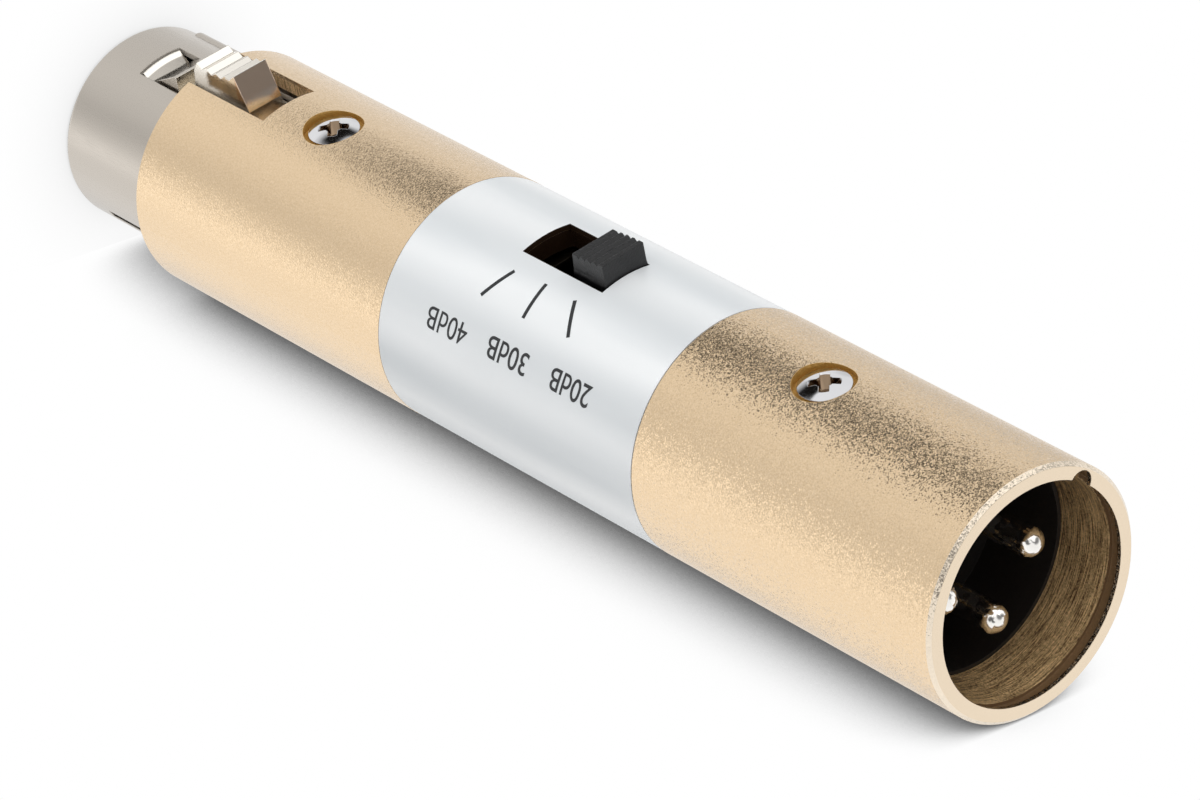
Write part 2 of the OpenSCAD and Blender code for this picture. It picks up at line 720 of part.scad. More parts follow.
// Insulated lead from a solder cup to the board: straight, a bend, straight down to the board
module wire(z_from, dir) color("#c23b30") {
    translate([0, pitch_r, z_from]) mirror([0, 0, dir < 0 ? 1 : 0]) {
        cylinder(d = wire_d, h = wire_run);
        translate([0, -wire_bend, wire_run]) rotate([90, 0, 90])
            rotate_extrude(angle = 90) translate([wire_bend, 0]) circle(d = wire_d, $fn = 32);
        translate([0, -wire_bend, wire_run + wire_bend]) rotate([90, 0, 0])
            cylinder(d = wire_d, h = pitch_r - wire_bend + board_rear);
    }
}

module wire_female() wire(z_nose_end + tail_len - cup_len + 0.1, 1);
module wire_male() wire(z_insert - tail_len + cup_len - 0.1, -1);

body_tube();
label_band();
male_shell();
nose_shell();
female_insulator();
female_contact_1();
female_contact_2();
female_contact_3();
latch();
latch_pin();
latch_spring();
male_insulator();
male_pin_1();
male_pin_2();
male_pin_3();
body_screw_female();
body_screw_male();
circuit_board();
switch_case();
switch_base();
switch_slider();
switch_contacts();
switch_terminals();
resistors();
wire_female();
wire_male();
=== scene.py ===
"""Looks of the inline audio attenuator: champagne barrel, silver label with a three-step scale,
nickel nose with its latch, black slide switch, and the open plug mouth with its three pins."""
import json
import math

import bpy
from mathutils import Matrix, Vector


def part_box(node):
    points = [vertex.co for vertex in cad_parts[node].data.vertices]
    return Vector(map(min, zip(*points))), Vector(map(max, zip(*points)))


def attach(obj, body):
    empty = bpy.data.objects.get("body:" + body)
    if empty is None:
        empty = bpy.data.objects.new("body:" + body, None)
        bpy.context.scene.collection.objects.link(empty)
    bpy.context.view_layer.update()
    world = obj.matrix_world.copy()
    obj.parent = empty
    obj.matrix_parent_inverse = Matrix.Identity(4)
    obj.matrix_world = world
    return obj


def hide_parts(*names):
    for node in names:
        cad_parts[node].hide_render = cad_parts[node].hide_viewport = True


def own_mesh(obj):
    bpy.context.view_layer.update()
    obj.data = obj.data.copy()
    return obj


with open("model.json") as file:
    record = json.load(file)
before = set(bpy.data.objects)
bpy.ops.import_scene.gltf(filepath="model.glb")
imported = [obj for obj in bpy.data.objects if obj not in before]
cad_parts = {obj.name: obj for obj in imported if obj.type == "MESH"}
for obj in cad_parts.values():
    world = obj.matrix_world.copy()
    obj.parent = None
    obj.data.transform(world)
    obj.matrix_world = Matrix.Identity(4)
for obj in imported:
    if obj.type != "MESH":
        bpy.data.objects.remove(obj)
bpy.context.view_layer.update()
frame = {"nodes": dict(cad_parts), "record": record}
MM = 0.001

# Places on the part, in millimetres. Those that tell two faces apart lie a hair off them.
BODY_R = 9.5
LABEL_R = 9.48
FRONT = -6              # the side with the screws and the latch lies below this y
TURNED_R = 9.18         # bored walls lie within
LIP_FROM = 98.83        # the mouth's lip lies beyond
GROOVE_R = 8.4          # the ring groove's walls lie outside
GROOVE_FROM = 97.93     # and beyond
RIM_CUT = 98.9          # the rim's outer edge is cut from here
RIM_FACE = 99.18
SLOT = (-0.165, 54.92)  # middle of the switch's slot, across and along the barrel
SLOT_HALF = (2.25, 4.38)
SCREWS = (26.15, 80.25)
SCREW_HOLE_R = 2.33
RECESS_R = 1.36
RECESS_FLOOR = -9.22
PIN_TIP = 90.5
WINDOW_R = 7.77         # the walls of the nose's window lie within
WINDOW_FRONT = -5
TONGUE = (5.27, 9.44)   # the latch's tongue lies between these heights, without its lip
BUTTON_END = 16.37
END_FADE = (-8.4, -9.2) # painted tan reflection on the button's end: none, and full
LAST_GROOVE = (15.42, 0.27)  # middle and half width
LAST_GROOVE_TOP = -10.3


def srgb(code):
    """A hex colour as linear RGBA."""
    parts = [int(code[i:i + 2], 16) / 255 for i in (1, 3, 5)]
    return tuple(c / 12.92 if c <= 0.04045 else ((c + 0.055) / 1.055) ** 2.4 for c in parts) + (1,)


def feed(made, inputs):
    """Sets a node's inputs, in order or by name, to values or hex colours, or links them to what
    feeds them: a socket, or a node's first output."""
    for name, value in inputs.items() if isinstance(inputs, dict) else enumerate(inputs):
        if isinstance(value, bpy.types.Node):
            value = value.outputs[0]
        if isinstance(value, bpy.types.NodeSocket):
            made.id_data.links.new(value, made.inputs[name])
        else:
            made.inputs[name].default_value = srgb(value) if isinstance(value, str) else value


def node(tree, kind, inputs=(), stops=(), **settings):
    """One shader node with its settings and links. stops are a ramp's places, each with a hex
    colour or a grey level."""
    made = tree.nodes.new("ShaderNode" + kind)
    for name, value in settings.items():
        setattr(made, name, value)
    if stops:
        elements = made.color_ramp.elements
        while len(elements) < len(stops):
            elements.new(0.5)
        for element, (place, tone) in zip(elements, stops):
            element.position = place
        for element, (place, tone) in zip(elements, stops):
            element.color = srgb(tone) if isinstance(tone, str) else (tone, tone, tone, 1)
    feed(made, inputs)
    return made


def bare_material(name, colour, roughness, metallic=0.0):
    """A material with a Principled shader, and the object's coordinates in millimetres."""
    made = bpy.data.materials.new(name)
    made.use_nodes = True
    made.diffuse_color = srgb(colour)
    tree = made.node_tree
    shader = tree.nodes["Principled BSDF"]
    feed(shader, {"Base Color": colour, "Roughness": roughness, "Metallic": metallic})
    place = node(tree, "TexCoord").outputs["Object"]
    mm = node(tree, "Mapping", {"Vector": place, "Scale": (1000, 1000, 1000)})
    return made, tree, shader, mm


def from_axis(tree, a, b):
    """Distance from an axis, for two coordinates that cross it."""
    squares = [node(tree, "Math", (c, c), operation="MULTIPLY") for c in (a, b)]
    return node(tree, "Math", (node(tree, "Math", squares, operation="ADD"),), operation="SQRT")


def all_of(tree, first, *others):
    """1 where every test holds, 0 elsewhere."""
    for test in others:
        first = node(tree, "Math", (first, test), operation="MULTIPLY")
    return first


def in_slot(tree, x, y, z):
    """1 on the walls of the switch's slot, 0 elsewhere."""
    tests = [node(tree, "Math", (y, 0), operation="LESS_THAN")]
    for axis, middle, half in zip((x, z), SLOT, SLOT_HALF):
        off = node(tree, "Math", (axis, middle), operation="SUBTRACT")
        off = node(tree, "Math", (off,), operation="ABSOLUTE")
        tests.append(node(tree, "Math", (off, half), operation="LESS_THAN"))
    return all_of(tree, *tests)


def relief(tree, height, depth, rounding, samples):
    """A surface's normal with its edges rounded and a relief cut in it, both in metres."""
    edge = node(tree, "Bevel", {"Radius": rounding}, samples=samples)
    return node(tree, "Bump", {"Strength": 1.0, "Distance": depth, "Height": height, "Normal": edge})


def faceted(tree, normal, cells, tilt):
    """A normal that leans its own way in each cell of a pattern."""
    lean = node(tree, "VectorMath", (cells, (0.5, 0.5, 0.5)), operation="SUBTRACT")
    lean = node(tree, "VectorMath", {0: lean, "Scale": tilt}, operation="SCALE")
    normal = node(tree, "VectorMath", (normal, lean), operation="ADD")
    return node(tree, "VectorMath", (normal,), operation="NORMALIZE")


# Materials

def champagne_aluminium():
    """Aluminium tube, bead-blasted and anodised champagne: bright grain over a broad soft sheen,
    paler at a glance under its sealed film. Bores are turned, browner and duller, with fine rings whose
    glints are painted in."""
    made, tree, shader, mm = bare_material("champagne_aluminium", "#DDC3A0", 0.25, 1.0)
    feed(shader, {"Coat Weight": 0.15, "Coat Roughness": 0.3})
    x, y, z = node(tree, "SeparateXYZ", (mm,)).outputs
    radius = from_axis(tree, x, y)
    turned = all_of(tree, node(tree, "Math", (radius, TURNED_R), operation="LESS_THAN"),
                    node(tree, "Math", (z, LIP_FROM), operation="LESS_THAN"))
    groove = all_of(tree, node(tree, "Math", (radius, GROOVE_R), operation="GREATER_THAN"),
                    node(tree, "Math", (z, GROOVE_FROM), operation="GREATER_THAN"))
    # the screw holes' walls: a deeper brass-brown, which is painted shade of the holes
    away = [from_axis(tree, node(tree, "Math", (z, height), operation="SUBTRACT"), x) for height in SCREWS]
    away = node(tree, "Math", away, operation="MINIMUM")
    drilled = all_of(tree, node(tree, "Math", (away, SCREW_HOLE_R), operation="LESS_THAN"),
                     node(tree, "Math", (y, FRONT), operation="LESS_THAN"))
    rim = node(tree, "Math", (z, RIM_FACE), operation="GREATER_THAN")
    edge_cut = node(tree, "Math", (z, RIM_CUT), operation="GREATER_THAN")
    # bead blasting leaves facets of about 0.1 mm, each tilted its own way, so that it sparkles
    grit = node(tree, "TexNoise", {"Vector": mm, "Scale": 7.2, "Detail": 1.0, "Roughness": 0.6})
    facets = node(tree, "TexVoronoi", {"Vector": mm, "Scale": 10.0}).outputs["Color"]
    # turning leaves rings about 0.1 mm apart, broken along their length
    ring_place = node(tree, "Mapping", {"Vector": mm, "Scale": (0.4, 0.4, 11.0)})
    rings = node(tree, "TexNoise", {"Vector": ring_place, "Scale": 1.0, "Detail": 4.0, "Roughness": 0.75})
    # the skin: blasted, and paler where its rim is cut after anodising
    skin = node(tree, "ValToRGB", (grit,), stops=((0.3, "#D8BE9A"), (0.7, "#E2C9A7")))
    skin = node(tree, "MixRGB", (edge_cut, skin, "#E8DAC6"))
    skin = node(tree, "MixRGB", (rim, skin, "#E7D5BC"))
    # the bores: dark brown between the rings, with painted glints along the rings and on a few grains
    painted_glint = node(tree, "SeparateXYZ", (facets,)).outputs[0]
    bore = node(tree, "Math", (painted_glint, 0.12, rings), operation="MULTIPLY_ADD")
    bore = node(tree, "ValToRGB", (bore,), stops=((0.42, "#4A2D0E"), (0.7, "#FFD9A0")))
    bore = node(tree, "MixRGB", (groove, bore, "#84694A"))
    colour = node(tree, "MixRGB", (turned, skin, bore))
    # painted shade: the screw holes' walls are a deeper brass-brown
    colour = node(tree, "MixRGB", (drilled, colour, "#C0954C"))
    # painted shade: the walls of the switch's slot, deep beside the knob, are a near-black brown
    colour = node(tree, "MixRGB", (in_slot(tree, x, y, z), colour, "#2B1C10"))
    # a cut wall is rougher and scatters part of its light
    cut = node(tree, "Math", (turned, drilled), operation="MAXIMUM")
    height = node(tree, "MixRGB", (turned, grit, rings))
    depth = node(tree, "MapRange", {"Value": rim, "To Min": 0.02 * MM, "To Max": 0.003 * MM})
    # the blast was coarser towards the plug, and the rim's face is nearly smooth
    coarse = node(tree, "MapRange", (z, 30.0, 72.0, 0.12, 0.34))
    tilt = node(tree, "MapRange", {"Value": rim, "To Min": coarse, "To Max": 0.05})
    feed(shader, {"Base Color": colour,
                  "Metallic": node(tree, "MapRange", {"Value": cut, "To Min": 1.0, "To Max": 0.4}),
                  "Roughness": node(tree, "MapRange", {"Value": cut, "To Min": 0.25, "To Max": 0.36}),
                  "Normal": faceted(tree, relief(tree, height, depth, 0.05 * MM, 6), facets, tilt)})
    return made


def satin_silver_film():
    """Metallised label film with a satin face: pale silver, softer and cooler than the barrel, with
    faint clouds, and bands along the barrel that are painted light and shade."""
    made, tree, shader, mm = bare_material("satin_silver_film", "#E9EDEF", 0.38, 0.1)
    x, y, z = node(tree, "SeparateXYZ", (mm,)).outputs
    along = node(tree, "Mapping", {"Vector": mm, "Scale": (0.25, 0.25, 0.035)})
    cloud = node(tree, "TexNoise", {"Vector": along, "Scale": 1.0, "Detail": 2.0})
    # painted light and shade: ten lighter and darker bands round the tube, one of them full under the scale
    painted_light_bands = node(tree, "Math", (y, x), operation="ARCTAN2")
    painted_light_bands = node(tree, "Math", (painted_light_bands, 10.0, -1.72), operation="MULTIPLY_ADD")
    painted_light_bands = node(tree, "Math", (painted_light_bands, cloud), operation="ADD")
    painted_light_bands = node(tree, "Math", (painted_light_bands,), operation="SINE")
    clouds = node(tree, "Math", (cloud, 0.5, 0.3), operation="MULTIPLY_ADD")
    tone_with_painted_light = node(tree, "Math", (painted_light_bands, 0.16, clouds), operation="MULTIPLY_ADD")
    tone_with_painted_light = node(tree, "ValToRGB", (tone_with_painted_light,), stops=((0.2, "#D4D9DC"), (0.8, "#F8FAFB")))
    # the film ends at the switch's slot, where its cut edge has the same painted shade as the slot's walls
    film = node(tree, "MixRGB", (in_slot(tree, x, y, z), tone_with_painted_light, "#2B1C10"))
    # the film's tooth is about 0.05 mm, drawn at 0.15 mm so that it shows
    tooth = node(tree, "TexNoise", {"Vector": mm, "Scale": 6.5, "Detail": 1.0})
    feed(shader, {"Base Color": film, "Normal": relief(tree, tooth, 0.004 * MM, 0.05 * MM, 4)})
    return made


def drawn_metal(name, colour, roughness, streak, rounding, punched=False):
    """Drawn or rolled metal, bare or plated: a mirror dulled by fine marks along the barrel, about
    0.1 mm wide. Where a window is punched in it, the sheared walls scatter light."""
    made, tree, shader, mm = bare_material(name, colour, roughness, 1.0)
    if punched:
        x, y, z = node(tree, "SeparateXYZ", (mm,)).outputs
        sheared = all_of(tree, node(tree, "Math", (from_axis(tree, x, y), WINDOW_R), operation="LESS_THAN"),
                         node(tree, "Math", (y, WINDOW_FRONT), operation="LESS_THAN"))
        feed(shader, {"Metallic": node(tree, "MapRange", {"Value": sheared, "To Min": 1.0, "To Max": 0.1})})
    lines = node(tree, "Mapping", {"Vector": mm, "Scale": (9.0, 9.0, 0.8)})
    marks = node(tree, "TexNoise", {"Vector": lines, "Scale": 1.0, "Detail": 2.0, "Roughness": 0.5})
    feed(shader, {"Roughness": node(tree, "MapRange", (marks, 0.3, 0.7, roughness * 0.85, roughness * 1.2)),
                  "Normal": relief(tree, marks, streak * MM, rounding * MM, 6)})
    return made


def latch_nickel():
    """Nickel plate on the pressed lever: the ridged button is polished by thumbs to a near-white mirror.
    The tongue in the nose's window is painted a darker grey like the nose's, as painted shade; its raised lip
    keeps the button's near-white."""
    made, tree, shader, mm = bare_material("bright_nickel_plate", "#EFEAE1", 0.16, 1.0)
    x, y, z = node(tree, "SeparateXYZ", (mm,)).outputs
    # painted shade: the tongue in the window is a darker grey than the button
    tongue = all_of(tree, node(tree, "Math", (z, TONGUE[1]), operation="LESS_THAN"),
                    node(tree, "Math", (z, TONGUE[0]), operation="GREATER_THAN"))
    tone_with_painted_light = node(tree, "MixRGB", (tongue, "#EFEAE1", "#BDB7AE"))
    # painted reflection: the button's end face is painted tan, for the gold notch walls that it faces
    end = all_of(tree, node(tree, "Math", (z, BUTTON_END), operation="GREATER_THAN"),
                 node(tree, "MapRange", (y, *END_FADE)))
    tone_with_painted_light = node(tree, "MixRGB", (end, tone_with_painted_light, "#E8CFB9"))
    # the last groove is out of the thumb's reach and stays as matt as it was plated
    last = all_of(tree, node(tree, "Math", (z, *LAST_GROOVE), operation="COMPARE"),
                  node(tree, "Math", (y, LAST_GROOVE_TOP), operation="LESS_THAN"))
    marks = node(tree, "TexNoise", {"Vector": mm, "Scale": 5.0, "Detail": 2.0})
    rough = node(tree, "MapRange", (marks, 0.3, 0.7, 0.13, 0.2))
    feed(shader, {"Base Color": tone_with_painted_light,
                  "Roughness": node(tree, "Math", (last, 0.35, rough), operation="MULTIPLY_ADD"),
                  "Metallic": node(tree, "Math", (last, -0.4, 1.0), operation="MULTIPLY_ADD"),
                  "Normal": node(tree, "Bevel", {"Radius": 0.08 * MM}, samples=8)})
    return made


def screw_chrome():
    """Chrome on the screw heads: a bright mirror, with painted shade, a dark tan, in the cross recess."""
    made = drawn_metal("bright_chrome_plate", "#DADADC", 0.09, 0.0003, 0.05)
    tree = made.node_tree
    x, y, z = node(tree, "SeparateXYZ", (node(tree, "TexCoord").outputs["Object"],)).outputs
    away = [node(tree, "Math", (z, height * MM), operation="SUBTRACT") for height in SCREWS]
    away = [node(tree, "Math", (height,), operation="ABSOLUTE") for height in away]
    away = from_axis(tree, node(tree, "Math", away, operation="MINIMUM"), x)
    recess = all_of(tree, node(tree, "Math", (away, RECESS_R * MM), operation="LESS_THAN"),
                    node(tree, "Math", (y, RECESS_FLOOR * MM), operation="GREATER_THAN"))
    # painted shade: the cross recess is a dark tan
    feed(tree.nodes["Principled BSDF"], {"Base Color": node(tree, "MixRGB", (recess, "#DADADC", "#8B7762"))})
    return made


def plated_contact():
    """Silver over brass on pins and sockets: a painted highlight as a white mirror cap at the tips, broken
    into small worn faces, a painted tan reflection, partly matt, on their shoulders, and a tan mirror behind."""
    made, tree, shader, mm = bare_material("silver_plated_brass", "#DCC398", 0.16, 1.0)
    height = node(tree, "SeparateXYZ", (mm,)).outputs[2]
    # painted highlight: white over the last quarter of a millimetre; painted tan reflection, partly matt,
    # down to 1.5 mm from the tip
    tip = node(tree, "MapRange", (height, PIN_TIP - 0.34, PIN_TIP - 0.16))
    shoulder = node(tree, "MapRange", (height, PIN_TIP - 1.5, PIN_TIP - 1.0))
    painted_reflection_shoulder = all_of(tree, shoulder, node(tree, "Math", (1.0, tip), operation="SUBTRACT"))
    # faces of about 0.5 mm, worn by plugging in
    faces = node(tree, "TexVoronoi", {"Vector": mm, "Scale": 1.9}).outputs["Color"]
    tilt = node(tree, "Math", (tip, 0.35), operation="MULTIPLY")
    edge = node(tree, "Bevel", {"Radius": 0.05 * MM}, samples=6)
    feed(shader, {"Base Color": node(tree, "MixRGB", (tip, "#F2D6A4", "#F6F3EE")),
                  "Metallic": node(tree, "Math", (painted_reflection_shoulder, -0.6, 1.0), operation="MULTIPLY_ADD"),
                  "Normal": faceted(tree, edge, faces, tilt)})
    return made


def moulded(name, colour, roughness, grain, depth, rounding=0.06):
    """Plastic or lacquer with a fine even texture: soft sheen that varies a little, edges slightly
    rounded. grain is in cells per millimetre, depth and rounding in millimetres."""
    made, tree, shader, mm = bare_material(name, colour, roughness)
    texture = node(tree, "TexNoise", {"Vector": mm, "Scale": grain, "Detail": 2.0, "Roughness": 0.6})
    rough = node(tree, "MapRange", (texture, 0.3, 0.7, roughness - 0.06, roughness + 0.08))
    feed(shader, {"Roughness": rough, "Normal": relief(tree, texture, depth * MM, rounding * MM, 4)})
    return made


# The record's material slots, each with its real finish
FINISH = {
    "champagne_shell": champagne_aluminium(),
    "silver_band": satin_silver_film(),
    # drawn steel, nickel-plated: warm grey and satin
    "satin_nickel": drawn_metal("satin_nickel_plate", "#B9B2A9", 0.24, 0.0004, 0.12, punched=True),
    "bright_nickel": latch_nickel(),
    "screw_chrome": screw_chrome(),
    # moulded nylon: warm black, nearly without shine
    "black_insert": moulded("black_nylon", "#100A06", 0.6, 6.0, 0.006),
    "contact_silver": plated_contact(),
    # drawn wire: grey and bright
    "spring_steel": drawn_metal("drawn_spring_steel", "#A9A8A5", 0.28, 0.0006, 0.03),
    # glass fibre under solder lacquer: deep green and glossy
    "board_green": moulded("green_lacquered_board", "#1F5A33", 0.3, 3.0, 0.003),
    # folded sheet, blackened: dark brown-grey
    "switch_frame": drawn_metal("blackened_sheet_steel", "#4A4238", 0.35, 0.0006, 0.05),
    # pressed resin paper: brown and dull
    "switch_board": moulded("brown_laminate", "#5B3D22", 0.55, 4.0, 0.004),
    # ABS from a spark-eroded mould: black with a fine tooth
    "knob_black": moulded("black_textured_plastic", "#0B0B0D", 0.38, 6.0, 0.03, 0.08),
    # rolled strip: reddish gold and bright
    "contact_bronze": drawn_metal("spring_bronze", "#C08A4A", 0.25, 0.0005, 0.03),
    # tinned strip: pale and yellowish
    "terminal_tin": drawn_metal("tinned_brass", "#CDBF95", 0.3, 0.0005, 0.03),
    # dipped lacquer: tan and glossy
    "resistor_tan": moulded("tan_lacquer", "#B89468", 0.35, 3.0, 0.003),
    # extruded PVC: plain red
    "wire_red": moulded("red_insulation", "#A82018", 0.4, 3.0, 0.002),
}
slot_of = {part["node"]: part["material_slot"] for part in frame["record"]["subparts"]}
for name, piece in frame["nodes"].items():
    for socket in piece.material_slots:
        socket.material = FINISH[slot_of[name]]


# Scale print on the label: three ticks and three numbers

TEXT_SIZE = 2.36 * MM
INK_RISE = 0.006 * MM       # the letters' thickness, each way
TICK_W = 0.3 * MM
TICK_THICK = 0.012 * MM
PRINT_FROM, CUTS, CUT_STEP = 3, 46, 0.17  # the print is cut across where it bends, in mm
INK_GAP = 0.008             # the print's middle stands this far off the film, in mm


def printing_ink():
    """Screen-printed ink, charcoal and slightly glossy, thin enough to follow the film."""
    made, tree, shader, mm = bare_material("charcoal_ink", "#1B1D1F", 0.5)
    speck = node(tree, "TexNoise", {"Vector": mm, "Scale": 9.0, "Detail": 1.0})
    feed(shader, {"Base Color": node(tree, "ValToRGB", (speck,), stops=((0.3, "#141517"), (0.7, "#242629")))})
    return made


def clear_selection():
    bpy.ops.object.select_all(action="DESELECT")
    bpy.context.view_layer.objects.active = None


def take(piece):
    """Makes one object the selected and active one."""
    clear_selection()
    piece.select_set(True)
    bpy.context.view_layer.objects.active = piece


def settle():
    """Puts the active object's place, turn and size into its mesh."""
    bpy.ops.object.transform_apply(location=True, rotation=True, scale=True)
    return bpy.context.object


def flat_text(words, arc, height, reach, bolder=0.012):
    """Characters laid flat as (arc across the label, outward, along the barrel), read from the plug
    end to the socket end. arc is the line that they stand on, height where they begin, reach their
    length and bolder what is added to their strokes, all in mm."""
    clear_selection()
    bpy.ops.object.text_add(location=(0, 0, 0))
    text = bpy.context.object
    text.data.body = words
    text.data.size = TEXT_SIZE
    text.data.extrude = INK_RISE
    text.data.offset = bolder * MM
    bpy.ops.object.convert(target="MESH")
    text = bpy.context.object
    wide = max(v.co.x for v in text.data.vertices) - min(v.co.x for v in text.data.vertices)
    text.matrix_world = (Matrix.Translation((arc * MM, 0, height * MM))
                         @ Matrix(((0, 1, 0, 0), (0, 0, -1, 0), (-1, 0, 0, 0), (0, 0, 0, 1)))
                         @ Matrix.Diagonal((reach * MM / wide, 1, 1, 1)))
    return settle()


def flat_tick(inner, outer):
    """A straight stroke between two places (arc, height) on the unrolled label, in mm."""
    run = Vector((outer[0] - inner[0], 0, outer[1] - inner[1]))
    middle = Vector(((inner[0] + outer[0]) / 2, 0, (inner[1] + outer[1]) / 2))
    clear_selection()
    bpy.ops.mesh.primitive_cube_add(size=1, location=(0, 0, 0))
    bpy.context.object.matrix_world = (
        Matrix.Translation(middle * MM)
        @ Vector((1, 0, 0)).rotation_difference(run.normalized()).to_matrix().to_4x4()
        @ Matrix.Diagonal((run.length * MM, TICK_THICK, TICK_W, 1)))
    return settle()


def scale_print():
    """The flat print as one mesh, cut into strips along the barrel and bent round the label."""
    parts = [flat_text("40dB", 8.75, 50.29, 4.40, 0), flat_text("30dB", 8.56, 57.04, 4.34),
             flat_text("20dB", 8.44, 63.76, 4.26),
             flat_tick((3.75, 51.39), (6.43, 50.02)), flat_tick((3.51, 54.66), (6.48, 54.72)),
             flat_tick((3.60, 57.90), (6.19, 59.44))]
    take(parts[0])
    for part in parts:
        part.select_set(True)
    bpy.ops.object.join()
    printed = bpy.context.object
    printed.name = printed.data.name = "scale_print"
    bpy.ops.object.mode_set(mode="EDIT")
    for k in range(CUTS):
        bpy.ops.mesh.select_all(action="SELECT")
        bpy.ops.mesh.bisect(plane_co=((PRINT_FROM + CUT_STEP * k) * MM, 0, 0), plane_no=(1, 0, 0))
    bpy.ops.object.mode_set(mode="OBJECT")
    across = [v.co.x for v in printed.data.vertices]
    radius = (LABEL_R + INK_GAP) * MM
    bend = printed.modifiers.new("wrap", "SIMPLE_DEFORM")
    bend.deform_method = "BEND"
    bend.deform_axis = "Z"
    bend.angle = (max(across) - min(across)) / radius
    bpy.ops.object.modifier_apply(modifier=bend.name)
    bpy.ops.transform.translate(value=(0, -radius, 0))
    settle()
    printed.data.materials.clear()
    printed.data.materials.append(printing_ink())
    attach(printed, "barrel")
    return printed


scale_print()


# Latch spring: the CAD's coil in round wire

def latch_coil(wire, across, turns):
    """A coil in the place of the CAD's, standing out from the axis: wire and across are diameters in
    metres, and turns is its number of turns."""
    lowest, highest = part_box("latch_spring")
    free = highest[1] - lowest[1]
    clear_selection()
    bpy.ops.mesh.primitive_circle_add(vertices=12, radius=wire / 2, rotation=(math.pi / 2, 0, 0),
                                      location=((across - wire) / 2, 0, wire / 2))
    coil = settle()
    coil.name = coil.data.name = "latch_coil"
    wound = coil.modifiers.new("wound", "SCREW")
    wound.screw_offset = (free - wire) / turns
    wound.iterations = turns
    wound.steps = wound.render_steps = 28
    wound.use_smooth_shade = True
    bpy.ops.object.modifier_apply(modifier=wound.name)
    bpy.ops.object.mode_set(mode="EDIT")
    bpy.ops.mesh.select_all(action="SELECT")
    bpy.ops.mesh.fill_holes(sides=12)
    bpy.ops.mesh.normals_make_consistent(inside=False)
    bpy.ops.object.mode_set(mode="OBJECT")
    coil.rotation_euler = (math.pi / 2, 0, 0)
    coil.location = ((lowest[0] + highest[0]) / 2, highest[1], (lowest[2] + highest[2]) / 2)
    settle()
    coil.data.materials.append(FINISH["spring_steel"])
    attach(coil, "barrel")
    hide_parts("latch_spring")
    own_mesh(coil)
    return coil


latch_coil(0.32 * MM, 2.2 * MM, 5)


# Camera: the photograph's, fitted to the object's rims and edges

camera_data = bpy.data.cameras.new("camera")
camera_data.lens = 181.4
camera_data.sensor_width = 36
camera = bpy.data.objects.new("camera", camera_data)
bpy.context.scene.collection.objects.link(camera)
RIGHT, UPWARD, BACK = (-0.7484, 0.1478, 0.6466), (-0.4635, -0.8139, -0.3504), (0.4745, -0.5619, 0.6776)
camera.matrix_world = (Matrix.Translation((0.20701, -0.24157, 0.34934))
                       @ Matrix((RIGHT, UPWARD, BACK)).transposed().to_4x4())
bpy.context.scene.camera = camera


# Studio: white floor and backdrop, a bright tent, and one black cloth that shapes the metal

def empty_material(name):
    """A material with no nodes yet, and its node tree."""
    made = bpy.data.materials.new(name)
    made.use_nodes = True
    made.node_tree.nodes.clear()
    return made, made.node_tree


def studio_card(name, reach, closed, open_sky, darkest, layer=False):
    """White card with a soft shadow where something stands close: closed and open_sky are the open
    shares of the sky at which it is darkest and white. A layer only shades what lies behind it."""
    made, tree = empty_material(name)
    share = node(tree, "AmbientOcclusion", {"Distance": reach}, samples=16).outputs["AO"]
    shut = node(tree, "MapRange", (share, closed, open_sky, 1.0, 0.0))
    shut = node(tree, "Math", (shut, 1.6), operation="POWER")
    shut = node(tree, "Math", (shut, 1 - darkest), operation="MULTIPLY")
    shade = node(tree, "Math", (1.0, shut), operation="SUBTRACT")
    if layer:
        seen = node(tree, "BsdfTransparent", {"Color": shade})
    else:
        seen = node(tree, "Emission", {"Color": "#FFFFFF", "Strength": shade})
    plain = node(tree, "BsdfDiffuse", {"Color": (0.86, 0.86, 0.86, 1)})
    whole = node(tree, "MixShader", (node(tree, "LightPath").outputs["Is Camera Ray"], plain, seen))
    behind = node(tree, "NewGeometry").outputs["Backfacing"]
    whole = node(tree, "MixShader", (behind, whole, node(tree, "BsdfTransparent")))
    node(tree, "OutputMaterial", {"Surface": whole})
    return made


def card(name, size, matrix, material):
    clear_selection()
    bpy.ops.mesh.primitive_plane_add(size=size, location=(0, 0, 0))
    made = bpy.context.object
    made.name = name
    made.data.transform(matrix)
    made.data.materials.append(material)
    made.visible_glossy = False
    return made


def facing(normal, side):
    """Turns a card's face, which looks along Z, to look along a normal, with one edge along side."""
    across = Vector(side).normalized()
    normal = Vector(normal).normalized()
    return Matrix((across, normal.cross(across), normal)).transposed().to_4x4()


UP = Vector((-0.194, -0.981, 0)).normalized()  # upward in the photograph, where the barrel lies down
FLOOR_DROP = 0.02 * MM
floor = card("floor", 6.0, Matrix.Translation((0, 0, -FLOOR_DROP)),
             studio_card("white_floor", 0.012, 0.3, 0.9, 0.75, layer=True))
# the backdrop stands upright and touches the barrel's far side, where it takes the contact shadow
wall = card("backdrop", 3.0, Matrix.Translation(-UP * (BODY_R * MM + FLOOR_DROP)) @ facing(UP, (0, 0, 1)),
            studio_card("white_backdrop", 0.04, 0.14, 0.62, 0.12))
wall.visible_diffuse = wall.visible_transmission = wall.visible_shadow = floor.visible_shadow = False


# What metal mirrors: the tent's brightness at places from 0 to 1. BRIGHTEST is a ramp's white.
BRIGHTEST = 1.5
# round the compass, by degrees from +X
COMPASS = ((0, 1.14), (14, 1.22), (60, 1.2), (110, 0.9), (150, 1.02), (172, 1.08), (192, 0.98), (215, 0.97),
           (230, 1.0), (285, 1.06), (305, 1.0), (330, 0.83), (348, 0.97))
# above it, from the horizon to overhead: a little duller at the top
OVERHEAD = ((0.5, 1.15), (0.72, 1.1), (0.84, 1.02), (1.0, 0.95))
